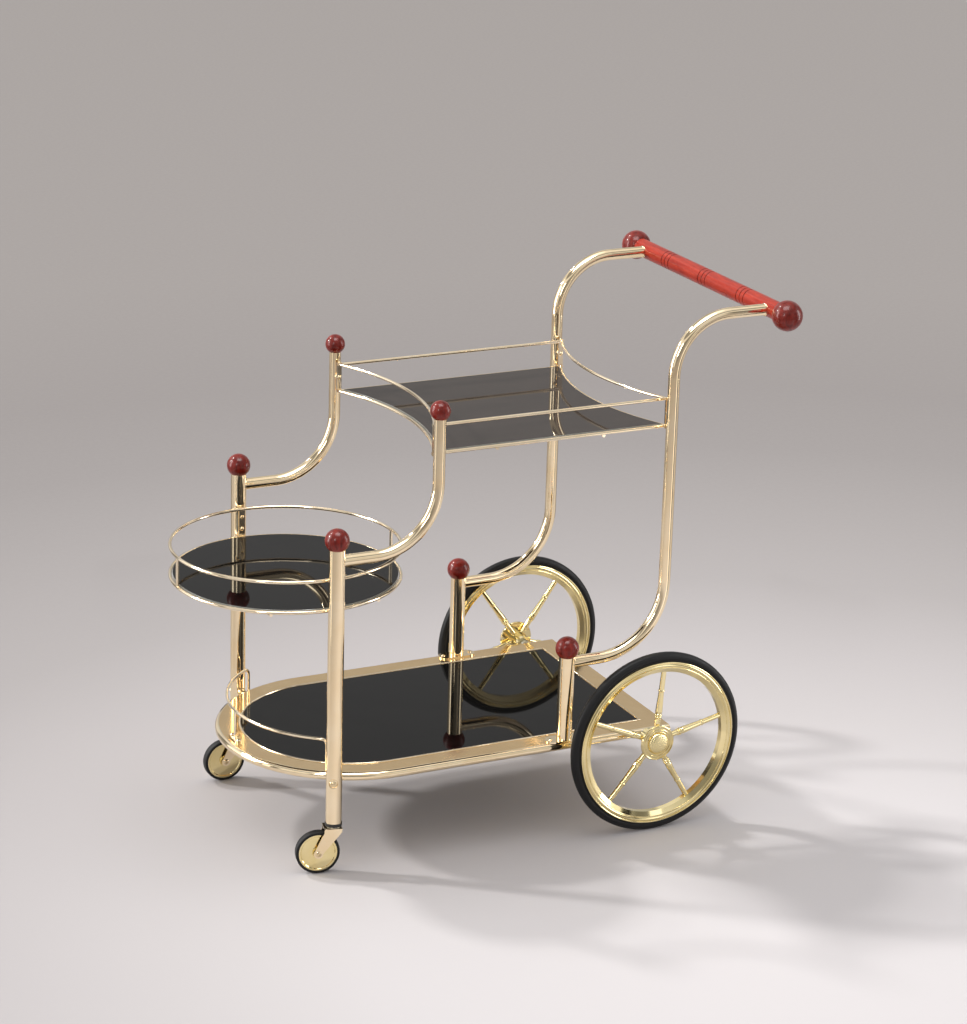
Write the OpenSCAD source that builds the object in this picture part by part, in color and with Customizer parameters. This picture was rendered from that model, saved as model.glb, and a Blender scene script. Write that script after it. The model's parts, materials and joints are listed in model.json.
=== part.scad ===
// Two-shelf serving trolley with a round front tray, two large spoked
// wheels at the handle end and two swivel casters under the front legs.
// Units are millimetres, +Z is up, +X points to the handle, and the origin
// is on the floor below the middle of the overall box.
// "Left" is -Y, the left hand of the person who pushes the trolley.

/* [Frame layout] */
// Distance from the middle plane to the axis of each leg, post and tube
frame_half_w = 200.5; // [160:0.5:245]
// From the front legs to the vertical part of the upper front tubes
upper_tube_x = 168; // [140:1:205]
// From the front legs to the short rear posts
post_x = 402; // [360:1:425]
// From the front legs to the vertical part of the rear tubes
rear_tube_x = 574; // [540:1:620]
// From the front legs to the handle bar
handle_x = 746; // [720:1:800]
// From the front legs to the rear wheel axles
wheel_x = 543.5; // [510:1:570]
// From the front legs to the rear edge of the bottom shelf
shelf_rear_x = 591; // [575:1:640]

/* [Heights above the floor] */
// Bottom end of the front legs
leg_bottom_z = 84; // [82:1:100]
// Top end of the front legs
leg_top_z = 534; // [520:1:600]
// Axis of the horizontal part of the upper front tubes
upper_tube_z = 514.6; // [505:0.1:522]
// Top end of the upper front tubes
upper_tube_top_z = 722.8; // [712:0.1:840]
// Top end of the short posts
post_top_z = 302; // [290:1:330]
// Axis of the horizontal lower part of the rear tubes
rear_tube_z = 291.5; // [275:0.5:292]
// Axis of the handle bar
handle_z = 842.8; // [830:0.1:960]
// Axis of the top wire around the upper shelf
upper_rail_z = 706.6; // [690:0.1:712]
// Axis of the wire that the upper shelf glass lies in
upper_shelf_z = 661.5; // [640:0.1:670]
// Axis of the top wire ring of the front tray
tray_ring_z = 478.8; // [470:0.1:495]
// Axis of the wire ring that the tray glass lies in
tray_z = 429.5; // [400:0.1:440]

/* [Tubes and wires] */
// Outer diameter of the front legs and short posts
leg_d = 25.4; // [22:0.1:30]
// Outer diameter of the bent tubes
tube_d = 19; // [16:0.1:23]
// Wall of every tube
tube_wall = 1.2; // [1:0.1:2]
// Outer diameter of the tube around the bottom shelf
edge_d = 14; // [12:0.5:18]
// Diameter of the wire rails
wire_d = 5.5; // [4:0.1:7]
// Diameter of the guard rail wire
guard_wire_d = 5; // [4:0.1:7]
// Bend radius of the upper front tubes
upper_bend_r = 105; // [60:1:125]
// Bend radius of the lower bend of the rear tubes
lower_bend_r = 115; // [60:1:125]
// Bend radius of the rear tubes below the handle
handle_bend_r = 95; // [60:1:110]

/* [Turned wood] */
// Ball on the front legs and short posts
leg_ball_d = 38; // [32:0.5:44]
// Ball on the upper front tubes
tube_ball_d = 32; // [26:0.5:38]
// Ball at each end of the handle
handle_ball_d = 49; // [40:0.5:58]
// Handle bar
handle_d = 30; // [26:0.5:36]
// From the frame's tubes to the centre of each handle ball
handle_overhang = 47; // [40:0.5:60]
// How far the rear tubes reach into the handle bar
handle_socket = 12; // [8:0.5:14]
// Spacing between neighbouring grooves in the handle bar
groove_pitch = 11; // [8:0.5:14]
// From the middle groups of grooves to the outer ones
groove_group_y = 123; // [90:1:140]
// Depth of each groove
groove_depth = 1; // [0.5:0.1:1.5]

/* [Upper shelf] */
// How far each end of the shelf curves in towards its middle
shelf_sag = 41; // [20:1:60]
// Length of the spacer boss between each corner strut and its tube
boss_l = 5.75; // [2:0.25:8]
// Width of the corner struts
strut_w = 8; // [7:0.5:12]
// Thickness of the corner struts and tray straps
strap_t = 3; // [2:0.25:4]
// Thickness of all three glass plates
glass_t = 5; // [4:0.5:6]
// Gap between a glass plate and the wire around it
glass_gap = 0.75; // [0.3:0.05:1.5]
// How far a glass plate stands above the wire around it
glass_proud = 0.75; // [0:0.25:1.5]
// From each end of the shelf to its glass support wires
support_inset = 110; // [90:1:150]

/* [Front tray] */
// Width of the straps that hold the tray to the front legs
tray_strap_w = 10; // [9:0.5:14]
// Spacing of the two screws in each tray strap
tray_screw_pitch = 20; // [14:0.5:26]
// From the tray's middle to each glass support wire
tray_support_x = 90; // [50:1:110]

/* [Bottom shelf] */
// How far the edge tube's axis runs outside the line of the legs
edge_outset = 6.5; // [5:0.25:8]
// Length of the spacer between each front leg and the edge tube
leg_spacer = 2; // [1:0.25:4]
// Thickness of the sheet metal pan
pan_t = 1.5; // [1:0.1:2]
// From the edge tube's axis to the glass
rim_w = 34.5; // [30:0.5:42]
// From the glass to the rear edge
rear_rim_w = 37.5; // [30:0.5:45]
// Width of the ledge under the glass
ledge_w = 12; // [8:0.5:16]
// Drop of the lip at the rear edge
lip_h = 12; // [6:0.5:16]
// Width of the raised strip around the bottom glass
bead_w = 3.2; // [2:0.1:4]

/* [Guard rail] */
// Height of the guard rail's axis above the bottom shelf
guard_h = 48; // [35:0.5:70]
// How far the guard rail stands inside the edge tube's axis
guard_inset = 12.5; // [11:0.5:15]
// Half of the angle that the guard rail spans
guard_half_angle = 54; // [40:0.5:56]
// Bend radius at each end of the guard rail
guard_bend_r = 10; // [6:0.5:14]

/* [Fasteners] */
// Shank diameter of all the small screws
screw_d = 4; // [3:0.5:5]
// Head diameter of all the small screws
screw_head_d = 7; // [6:0.5:7]
// Head height of all the small screws
screw_head_h = 2.4; // [1.5:0.1:3]
// Shank diameter of the bolts through the front legs
leg_bolt_d = 6; // [5:0.5:7]
// Head diameter of the bolts through the front legs
leg_bolt_head_d = 13; // [9:0.5:14]
// Length of the plates under the short posts
base_plate_l = 66; // [60:1:76]
// Width of the plates under the short posts
base_plate_w = 26; // [22:0.5:27]
// Thickness of the screwed-down plates
base_plate_t = 2.5; // [2:0.25:4]
// Length of the plate under the guard rail's middle post
guard_plate_l = 38; // [32:1:50]
// Width of the plate under the guard rail's middle post
guard_plate_w = 12; // [10:0.5:14]

/* [Rear wheels] */
// Outer diameter of the rear wheels
wheel_d = 304.8; // [280:0.1:330]
// Radial depth of the rubber tyre
tyre_h = 13.9; // [11:0.1:18]
// Width of the rubber tyre
tyre_w = 17; // [14:0.5:20]
// Radial depth of the rim
rim_h = 18; // [14:0.5:22]
// Width of the rim
rim_face_w = 18; // [14:0.5:20]
// Sheet thickness of the rim
rim_t = 2.5; // [1.5:0.1:3]
// From the edge tube's axis to the middle plane of the wheel
wheel_offset = 41; // [38:0.5:48]
// Number of spokes
spoke_count = 5; // [4:1:7]
// Diameter of the spokes at the rim
spoke_d = 8.4; // [6:0.2:9]
// Diameter of the spokes at their thickest
spoke_belly_d = 11.6; // [9:0.2:14]
// Turn of the left wheel's spokes from the +X direction
left_spoke_turn = 13; // [0:1:72]
// Turn of the right wheel's spokes from the +X direction
right_spoke_turn = 54; // [0:1:72]
// Diameter of the hub where the spokes meet it
hub_d = 30; // [26:0.5:36]
// Diameter of the hub's outer flange
hub_flange_d = 59; // [42:0.5:64]
// Diameter of the domed hub cap
hub_cap_d = 36; // [31:0.5:38]
// Diameter of the axle
axle_d = 10; // [8:0.5:11]
// Radial clearance of every turning fit
running_gap = 0.05; // [0.02:0.01:0.09]

/* [Casters] */
// Diameter of the caster wheels
caster_d = 70; // [60:1:74]
// Radial depth of the caster tyre
caster_tyre_h = 4.5; // [3:0.5:6]
// Width of the caster tyre
caster_tyre_w = 14; // [10:0.5:15]
// From the swivel axis to the caster wheel's axle
caster_trail = 25; // [18:0.5:30]
// Direction in which the left caster trails
left_caster_turn = 167; // [0:1:360]
// Direction in which the right caster trails
right_caster_turn = 180; // [0:1:360]
// Inner distance between the two cheeks of the fork
fork_gap = 19; // [17.5:0.5:22]
// Sheet thickness of the fork
fork_t = 2; // [1.5:0.1:2.5]
// Side of the square cap on top of the fork
fork_cap_w = 28; // [26:0.5:32]
// Diameter of the caster's axle
caster_axle_d = 6; // [5:0.5:8]
// Diameter of the swivel stem
stem_d = 8; // [7:0.5:11]
// Length of the swivel stem inside the leg
stem_l = 28; // [20:1:40]

/* [Hidden] */
$fn = 64;

BRASS = "#d9b66c";
WIRE = "#e2c383";
CHERRY = "#7d2522";
HANDLE_RED = "#b34629";
BLACK_GLASS = "#2a2927";
RUBBER = "#262626";
STEEL = "#b9b9b6";
BLACK_PLASTIC = "#1d1d1d";

// A small overshoot for cuts, so that no cut ends on a face
over = 1;
RADIAN = 180 / PI;

leg_r = leg_d / 2;
tube_r = tube_d / 2;
edge_r = edge_d / 2;
wire_r = wire_d / 2;
handle_r = handle_d / 2;
wheel_r = wheel_d / 2;
caster_r = caster_d / 2;
screw_r = screw_d / 2;

// Round front tray, held between the two legs
tray_r = frame_half_w - leg_r - strap_t - wire_r;
tray_front_x = -(tray_r + wire_r);

// Middle of the overall box along X, which is the part's own origin
middle_x = (handle_x + handle_ball_d / 2 + tray_front_x) / 2;

// Bottom shelf: its edge tube is level with the wheel axles
edge_z = wheel_r;
shelf_top_z = edge_z + edge_r;
edge_y = frame_half_w + edge_outset;
// The edge tube's round front touches the spacers on both front legs
front_reach = edge_y + edge_r + leg_spacer + leg_r;
front_centre_x = sqrt(front_reach * front_reach - frame_half_w * frame_half_w);
leg_bolt_angle = atan2(frame_half_w, front_centre_x);
// From the leg's axis to the bolt's tip in the middle of the edge tube
leg_bolt_depth = leg_r + leg_spacer + edge_r;
leg_bolt_head_h = 4;
// How far the head's flat underside lies inside the round leg's outline
leg_bolt_seat = leg_r - sqrt(leg_r * leg_r - leg_bolt_head_d * leg_bolt_head_d / 4) + 0.2;
glass_edge_y = edge_y - rim_w;
glass_rear_x = shelf_rear_x - rear_rim_w;
guard_r = edge_y - guard_inset;

// Upper shelf: its wires run inside the four tubes
rail_y = frame_half_w - tube_r - boss_l - strap_t - wire_r;
rail_arc_r = (rail_y * rail_y + shelf_sag * shelf_sag) / (2 * shelf_sag);
rail_arc_half = asin(rail_y / rail_arc_r);
front_arc_x = upper_tube_x + shelf_sag - rail_arc_r;
rear_arc_x = rear_tube_x - shelf_sag + rail_arc_r;
upper_screw_z = (upper_rail_z + upper_shelf_z) / 2;
upper_screw_l = strap_t + boss_l + tube_wall + 3;
tray_screw_z = (tray_ring_z + tray_z) / 2;
tray_screw_l = strap_t + tube_wall + 3;
// Glass plates lie a little proud of the wires on wires welded below
glass_inset = wire_r + glass_gap;
glass_top_rise = wire_r + glass_proud;
support_drop = glass_t - glass_top_rise + wire_r;

// Handle
handle_ball_y = frame_half_w + handle_overhang;
handle_end_y = handle_ball_y - sqrt(pow(handle_ball_d / 2, 2) - handle_r * handle_r);
dowel_r = 6;
dowel_l = 18;

// Plates screwed to the bottom shelf
plate_screw_x = base_plate_l / 2 - base_plate_w / 2 + 5;
guard_screw_y = guard_plate_l / 2 - guard_plate_w / 2;
// Dressed weld between the guard rail and each of its ends
guard_weld_d = guard_wire_d + 0.8;
guard_weld_l = 2;
// Inside the weld, the rail and its end each stop this far short of the middle
guard_weld_gap = 0.1;
post_bottom_z = shelf_top_z + base_plate_t;

// Rear wheels: heights along the axle are counted outwards from the wheel's middle plane
wheel_y = edge_y + wheel_offset;
tyre_seat_r = wheel_r - tyre_h;
rim_inner_r = tyre_seat_r - rim_h;
spoke_r = spoke_d / 2;
spoke_bead_l = 2;
hub_r = hub_d / 2;
hub_inner_end = -(wheel_offset - edge_r - 8);
hub_flange_z = 5.5;
hub_face_z = 9;
nut_recess_r = 11.5;
nut_recess_z = 3;
nut_h = 5;
nut_r = 8.6;
nut_gap = 0.4;
shoulder_r = 8;
axle_rivet_h = 1.5;
side_gap = 0.5;
bracket_t = 3;
bracket_w = 44;
bracket_h = 14;
// From the wheel's middle plane to the inner face of the axle bracket
bracket_face = wheel_offset + edge_r + bracket_t;

// Casters: everything is stacked on the axle height
socket_flange_h = 5;
socket_flange_bottom = leg_bottom_z - socket_flange_h;
race_h = 1.5;
fork_top_z = socket_flange_bottom - side_gap - race_h;
caster_seat_r = caster_r - caster_tyre_h;
cheek_y = fork_gap / 2;
caster_hub_half = cheek_y - 1.2;

// ---------- helpers ----------

// Moves the layout, which starts at the front legs, to the part's own origin
module in_frame() translate([-middle_x, 0, 0]) children();

// Copies a piece of the left side to the right side
module right_side() mirror([0, 1, 0]) children();

module both_sides() {
    children();
    right_side() children();
}

// A tube along +Z
module pipe(d, length, wall = tube_wall) {
    difference() {
        cylinder(d = d, h = length);
        translate([0, 0, -over]) cylinder(d = d - 2 * wall, h = length + 2 * over);
    }
}

// A tube along +X
module pipe_x(d, length) rotate([0, 90, 0]) pipe(d, length);

// A bend in the XZ plane about the origin, from angle `from` through `sweep`
module elbow(d, bend_r, from, sweep) {
    rotate([90, 0, 0]) rotate([0, 0, from]) rotate_extrude(angle = sweep)
        translate([bend_r, 0]) difference() {
            circle(d = d);
            circle(d = d - 2 * tube_wall);
        }
}

// A round wire ring in a level plane
module wire_ring(r, d = wire_d) rotate_extrude() translate([r, 0]) circle(d = d);

// A rectangle with round corners, centred
module round_rect(w, h, r) {
    square([w - 2 * r, h], center = true);
    square([w, h - 2 * r], center = true);
    for (x = [-1, 1], y = [-1, 1])
        translate([x * (w / 2 - r), y * (h / 2 - r)]) circle(r = r);
}

// A plate with two half-round ends, long side along X
module stadium(length, w, t) {
    linear_extrude(t) {
        square([length - w, w], center = true);
        for (x = [-1, 1]) translate([x * (length - w) / 2, 0]) circle(d = w);
    }
}

// A turned ball with a flat seat on a tube's end and a spigot inside it
module finial(ball_d, seat_d, spigot_l = 16) {
    rise = sqrt(ball_d * ball_d - seat_d * seat_d) / 2;
    intersection() {
        translate([0, 0, rise]) sphere(d = ball_d, $fn = 96);
        translate([0, 0, ball_d / 2]) cube([ball_d, ball_d, ball_d], center = true);
    }
    translate([0, 0, -spigot_l]) cylinder(d = seat_d - 2 * tube_wall, h = spigot_l + over);
}

// A domed screw along -Z with its head's underside at the origin
module screw(d, head_d, head_h, length) {
    dome_r = (pow(head_d / 2, 2) + head_h * head_h) / (2 * head_h);
    difference() {
        intersection() {
            translate([0, 0, head_h - dome_r]) sphere(r = dome_r);
            cylinder(d = head_d, h = head_h);
        }
        translate([0, 0, head_h - 0.7]) {
            cube([head_d * 0.55, 0.9, 2], center = true);
            cube([0.9, head_d * 0.55, 2], center = true);
        }
    }
    translate([0, 0, -length]) cylinder(d = d, h = length + head_h / 4);
}

module small_screw(length) screw(screw_d, screw_head_d, screw_head_h, length);

// ---------- places of the fasteners, all on the left side ----------

// Along +Z of this frame the screw points from the tray's strap to the middle plane
module at_tray_screws() {
    for (i = [-1, 1])
        translate([0, -(tray_r + wire_r), tray_screw_z + i * tray_screw_pitch / 2])
            rotate([-90, 0, 0]) children();
}

module at_upper_screws() {
    for (x = [upper_tube_x, rear_tube_x])
        translate([x, -(rail_y + wire_r), upper_screw_z]) rotate([-90, 0, 0]) children();
}

module at_plate_screws() {
    for (i = [-1, 1])
        translate([post_x + i * plate_screw_x, -frame_half_w, shelf_top_z + base_plate_t])
            children();
}

module at_guard_screws() {
    for (i = [-1, 1])
        translate([front_centre_x - guard_r, i * guard_screw_y, shelf_top_z + base_plate_t])
            children();
}

// Frame on the leg's axis with +Z pointing away from the shelf's round front
module at_leg_bolt() {
    translate([0, -frame_half_w, edge_z])
        rotate([0, 0, 180 + leg_bolt_angle]) rotate([0, 90, 0]) children();
}

// ---------- frame ----------

module front_leg() {
    difference() {
        translate([0, -frame_half_w, leg_bottom_z]) pipe(leg_d, leg_top_z - leg_bottom_z);
        at_leg_bolt() cylinder(d = leg_bolt_d, h = 3 * leg_d, center = true);
        at_tray_screws() translate([0, 0, -tray_screw_l]) cylinder(d = screw_d, h = tray_screw_l);
    }
}

module front_finial() translate([0, -frame_half_w, leg_top_z]) finial(leg_ball_d, leg_d);

module upper_tube() {
    difference() {
        translate([0, -frame_half_w, 0]) {
            translate([0, 0, upper_tube_z]) pipe_x(tube_d, upper_tube_x - upper_bend_r);
            translate([upper_tube_x - upper_bend_r, 0, upper_tube_z + upper_bend_r])
                elbow(tube_d, upper_bend_r, -90, 90);
            translate([upper_tube_x, 0, upper_tube_z + upper_bend_r])
                pipe(tube_d, upper_tube_top_z - upper_tube_z - upper_bend_r);
        }
        translate([0, -frame_half_w, upper_tube_z - tube_d]) cylinder(r = leg_r, h = 2 * tube_d);
        at_upper_screws() translate([0, 0, -upper_screw_l]) cylinder(d = screw_d, h = upper_screw_l);
    }
}

module upper_finial() {
    translate([upper_tube_x, -frame_half_w, upper_tube_top_z]) finial(tube_ball_d, tube_d);
}

module rear_tube() {
    riser_bottom = rear_tube_z + lower_bend_r;
    riser_top = handle_z - handle_bend_r;
    tube_end_x = handle_x - handle_r + handle_socket;
    difference() {
        translate([0, -frame_half_w, 0]) {
            translate([post_x, 0, rear_tube_z])
                pipe_x(tube_d, rear_tube_x - lower_bend_r - post_x);
            translate([rear_tube_x - lower_bend_r, 0, riser_bottom])
                elbow(tube_d, lower_bend_r, -90, 90);
            translate([rear_tube_x, 0, riser_bottom]) pipe(tube_d, riser_top - riser_bottom);
            translate([rear_tube_x + handle_bend_r, 0, riser_top])
                elbow(tube_d, handle_bend_r, 90, 90);
            translate([rear_tube_x + handle_bend_r, 0, handle_z])
                pipe_x(tube_d, tube_end_x - rear_tube_x - handle_bend_r);
        }
        translate([post_x, -frame_half_w, rear_tube_z - tube_d]) cylinder(r = leg_r, h = 2 * tube_d);
        at_upper_screws() translate([0, 0, -upper_screw_l]) cylinder(d = screw_d, h = upper_screw_l);
    }
}

module short_post() {
    translate([post_x, -frame_half_w, post_bottom_z]) pipe(leg_d, post_top_z - post_bottom_z);
}

module post_finial() translate([post_x, -frame_half_w, post_top_z]) finial(leg_ball_d, leg_d);

module post_base_plate() {
    difference() {
        translate([post_x, -frame_half_w, shelf_top_z])
            stadium(base_plate_l, base_plate_w, base_plate_t);
        at_plate_screws() translate([0, 0, -2 * base_plate_t])
            cylinder(d = screw_d, h = 3 * base_plate_t);
    }
}

// ---------- handle ----------

module handle() {
    difference() {
        translate([handle_x, -handle_end_y, handle_z]) rotate([-90, 0, 0])
            cylinder(r = handle_r, h = 2 * handle_end_y);
        both_sides() {
            translate([handle_x - 2 * handle_r, -frame_half_w, handle_z]) rotate([0, 90, 0])
                cylinder(r = tube_r, h = handle_r + handle_socket);
            translate([handle_x, -handle_end_y - over, handle_z]) rotate([-90, 0, 0])
                cylinder(r = dowel_r, h = dowel_l + over);
        }
        for (group = [-1, 0, 1], i = [-1, 0, 1])
            translate([handle_x, group * groove_group_y + i * groove_pitch, handle_z])
                rotate([90, 0, 0]) wire_ring(handle_r, 2 * groove_depth);
    }
}

module handle_ball() {
    translate([handle_x, -handle_end_y, handle_z]) rotate([90, 0, 0]) {
        intersection() {
            translate([0, 0, handle_ball_y - handle_end_y]) sphere(d = handle_ball_d, $fn = 96);
            cylinder(d = 2 * handle_ball_d, h = 2 * handle_ball_d);
        }
        translate([0, 0, -dowel_l]) cylinder(r = dowel_r, h = dowel_l + over);
    }
}

// ---------- upper shelf ----------

// A closed wire loop: two straight side wires, and two end wires curved inwards.
// The end wires are a little thinner, so that their ends lie inside the side wires.
module shelf_wire_loop() {
    for (s = [-1, 1])
        translate([upper_tube_x - wire_r, s * rail_y, 0]) rotate([0, 90, 0])
            cylinder(r = wire_r, h = rear_tube_x - upper_tube_x + wire_d);
    translate([front_arc_x, 0, 0]) rotate([0, 0, -rail_arc_half]) end_wire();
    translate([rear_arc_x, 0, 0]) rotate([0, 0, 180 - rail_arc_half]) end_wire();
}

module end_wire() {
    rotate_extrude(angle = 2 * rail_arc_half, $fn = 180)
        translate([rail_arc_r, 0]) circle(r = wire_r - 0.15);
}

module top_rail() translate([0, 0, upper_rail_z]) shelf_wire_loop();

module shelf_rail() {
    translate([0, 0, upper_shelf_z]) {
        shelf_wire_loop();
        for (x = [upper_tube_x + support_inset, rear_tube_x - support_inset])
            translate([x, -rail_y, -support_drop]) rotate([-90, 0, 0])
                cylinder(r = wire_r, h = 2 * rail_y);
    }
}

module corner_strut(x) {
    strut_h = upper_rail_z - upper_shelf_z + wire_d;
    difference() {
        union() {
            translate([x - strut_w / 2, -(rail_y + wire_r + strap_t), upper_shelf_z - wire_r])
                cube([strut_w, strap_t, strut_h]);
            translate([x, -frame_half_w, upper_screw_z]) rotate([-90, 0, 0])
                cylinder(d = strut_w, h = frame_half_w - rail_y - wire_r - strap_t / 2);
        }
        translate([x, -frame_half_w, upper_shelf_z - strut_h]) cylinder(r = tube_r, h = 3 * strut_h);
        at_upper_screws() translate([0, 0, -upper_screw_l])
            cylinder(d = screw_d, h = upper_screw_l + over);
    }
}

module upper_shelf_glass() {
    translate([0, 0, upper_shelf_z + glass_top_rise - glass_t])
        linear_extrude(glass_t) difference() {
            translate([upper_tube_x, -(rail_y - glass_inset)])
                square([rear_tube_x - upper_tube_x, 2 * (rail_y - glass_inset)]);
            for (x = [front_arc_x, rear_arc_x])
                translate([x, 0]) circle(r = rail_arc_r + glass_inset, $fn = 180);
        }
}

// ---------- front tray ----------

module tray_ring(z) translate([0, 0, z]) wire_ring(tray_r, $fn = 128);

module tray_support_ring() {
    tray_ring(tray_z);
    half_l = sqrt(tray_r * tray_r - tray_support_x * tray_support_x);
    for (x = [-tray_support_x, tray_support_x])
        translate([x, -half_l, tray_z - support_drop]) rotate([-90, 0, 0])
            cylinder(r = wire_r, h = 2 * half_l);
}

module tray_strap() {
    difference() {
        translate([-tray_strap_w / 2, -(tray_r + wire_r + strap_t), tray_z - wire_r])
            cube([tray_strap_w, strap_t, tray_ring_z - tray_z + wire_d]);
        at_tray_screws() cylinder(d = screw_d, h = 4 * strap_t, center = true);
    }
}

module tray_strut_set() {
    both_sides() tray_strap();
    difference() {
        for (x = [-tray_r, tray_r])
            translate([x, 0, tray_z]) cylinder(r = wire_r, h = tray_ring_z - tray_z);
        tray_ring(tray_z);
        tray_ring(tray_ring_z);
    }
}

module tray_plate() {
    translate([0, 0, tray_z + glass_top_rise - glass_t])
        cylinder(r = tray_r - glass_inset, h = glass_t, $fn = 128);
}

// ---------- bottom shelf ----------

// The shelf's outline, round in front and square behind, drawn `inset` inside the edge tube's axis
module shelf_outline(inset, rear_inset) {
    translate([front_centre_x, 0]) circle(r = edge_y - inset, $fn = 128);
    translate([front_centre_x, -(edge_y - inset)])
        square([shelf_rear_x - rear_inset - front_centre_x, 2 * (edge_y - inset)]);
}

// The edge tube's path, as a solid bar of diameter d
module edge_bar(d) {
    translate([front_centre_x, 0, edge_z]) {
        rotate([0, 0, 90]) rotate_extrude(angle = 180, $fn = 128)
            translate([edge_y, 0]) circle(d = d);
        for (s = [-1, 1]) translate([0, s * edge_y, 0]) rotate([0, 90, 0])
            cylinder(d = d, h = shelf_rear_x - front_centre_x);
    }
}

module edge_tube() {
    difference() {
        edge_bar(edge_d);
        edge_bar(edge_d - 2 * tube_wall);
        // opens the two rear ends
        for (s = [-1, 1]) translate([shelf_rear_x - over, s * edge_y, edge_z])
            rotate([0, 90, 0]) cylinder(d = edge_d - 2 * tube_wall, h = 2 * over);
        both_sides() {
            translate([wheel_x, -edge_y, edge_z]) rotate([90, 0, 0])
                cylinder(d = axle_d, h = 2 * edge_d, center = true);
            at_leg_bolt() translate([0, 0, -leg_bolt_depth])
                cylinder(d = leg_bolt_d, h = leg_bolt_depth);
        }
    }
}

module pan() {
    wall_top = shelf_top_z;
    ledge_top = shelf_top_z - glass_t;
    difference() {
        union() {
            translate([0, 0, shelf_top_z - pan_t]) linear_extrude(pan_t)
                shelf_outline(0, 0);
            translate([0, 0, ledge_top - pan_t]) linear_extrude(wall_top - ledge_top + pan_t)
                shelf_outline(rim_w - pan_t, rear_rim_w - pan_t);
            // lip that turns down along the rear edge
            translate([shelf_rear_x - pan_t, -(edge_y - edge_r), shelf_top_z - lip_h])
                cube([pan_t, 2 * (edge_y - edge_r), lip_h]);
        }
        translate([0, 0, ledge_top]) linear_extrude(2 * glass_t) shelf_outline(rim_w, rear_rim_w);
        translate([0, 0, ledge_top - 2 * pan_t]) linear_extrude(3 * glass_t)
            shelf_outline(rim_w + ledge_w, rear_rim_w + ledge_w);
        edge_bar(edge_d);
        both_sides() at_plate_screws()
            translate([0, 0, -4 * base_plate_t]) cylinder(d = screw_d, h = 5 * base_plate_t);
        at_guard_screws()
            translate([0, 0, -4 * base_plate_t]) cylinder(d = screw_d, h = 5 * base_plate_t);
    }
}

// Raised strip on the pan around the edge of the glass
module glass_bead() {
    translate([0, 0, shelf_top_z]) linear_extrude(bead_w / 2) difference() {
        shelf_outline(rim_w - bead_w, rear_rim_w - bead_w);
        shelf_outline(rim_w, rear_rim_w);
    }
}

module bottom_glass() {
    translate([0, 0, shelf_top_z - glass_t]) linear_extrude(glass_t)
        shelf_outline(rim_w, rear_rim_w);
}

// ---------- guard rail ----------

module guard_end() {
    translate([guard_r, 0, guard_h - guard_bend_r]) {
        rotate([90, 0, 90]) rotate_extrude(angle = 90 - guard_weld_gap / guard_bend_r * RADIAN)
            translate([guard_bend_r, 0]) circle(d = guard_wire_d);
        translate([0, guard_bend_r, guard_bend_r - guard_h])
            cylinder(d = guard_wire_d, h = guard_h - guard_bend_r);
        translate([0, -guard_weld_l / 2, guard_bend_r]) rotate([-90, 0, 0])
            cylinder(d = guard_weld_d, h = guard_weld_l);
    }
}

module guard() {
    rail_half_angle = guard_half_angle - guard_weld_gap / guard_r * RADIAN;
    translate([front_centre_x, 0, shelf_top_z]) {
        rotate([0, 0, 180 - rail_half_angle]) translate([0, 0, guard_h])
            rotate_extrude(angle = 2 * rail_half_angle, $fn = 128)
                translate([guard_r, 0]) circle(d = guard_wire_d);
        rotate([0, 0, 180 + guard_half_angle]) guard_end();
        mirror([0, 1, 0]) rotate([0, 0, 180 + guard_half_angle]) guard_end();
        translate([-guard_r, 0, 0]) {
            cylinder(d = guard_wire_d, h = guard_h);
            difference() {
                rotate([0, 0, 90]) stadium(guard_plate_l, guard_plate_w, base_plate_t);
                for (i = [-1, 1]) translate([0, i * guard_screw_y, -over])
                    cylinder(d = screw_d, h = base_plate_t + 2 * over);
            }
        }
    }
}

// ---------- fasteners ----------

module all_rail_screws() {
    both_sides() {
        at_tray_screws() small_screw(tray_screw_l);
        at_upper_screws() small_screw(upper_screw_l);
    }
}

module all_base_screws() {
    both_sides() at_plate_screws() small_screw(base_plate_t + pan_t);
    at_guard_screws() small_screw(base_plate_t + pan_t);
}

// Bolt through the front leg into the shelf's edge tube
module leg_bolt() {
    at_leg_bolt() translate([0, 0, -leg_bolt_depth])
        cylinder(d = leg_bolt_d, h = leg_bolt_depth + leg_r);
    // The head's underside is hollowed to sit on the round leg
    difference() {
        at_leg_bolt() translate([0, 0, leg_r - leg_bolt_seat])
            screw(leg_bolt_d, leg_bolt_head_d, leg_bolt_head_h, 0.5);
        translate([0, -frame_half_w, 0]) cylinder(r = leg_r, h = 2 * edge_z);
    }
}

// Spacer between the front leg and the shelf's edge tube
module leg_spacer_ring() {
    difference() {
        at_leg_bolt() translate([0, 0, -leg_r - leg_spacer - edge_r / 2])
            cylinder(d = 2 * leg_bolt_d, h = leg_spacer + edge_r / 2 + leg_r / 2);
        at_leg_bolt() translate([0, 0, -2 * leg_bolt_depth])
            cylinder(d = leg_bolt_d + 0.4, h = 2 * leg_bolt_depth);
        translate([0, -frame_half_w, 0]) cylinder(r = leg_r, h = 2 * edge_z);
        edge_bar(edge_d);
    }
}

module axle_bracket() {
    difference() {
        translate([wheel_x - bracket_w / 2, -(edge_y - edge_r), shelf_top_z - pan_t - bracket_h])
            cube([bracket_w, bracket_t, bracket_h]);
        translate([wheel_x, -edge_y, edge_z]) rotate([90, 0, 0])
            cylinder(d = axle_d, h = 4 * edge_d, center = true);
    }
}

module hex_nut() {
    difference() {
        cylinder(r = nut_r, h = nut_h, $fn = 6);
        translate([0, 0, -over]) cylinder(d = axle_d, h = nut_h + 2 * over);
    }
}

// ---------- rear wheels ----------

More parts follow.
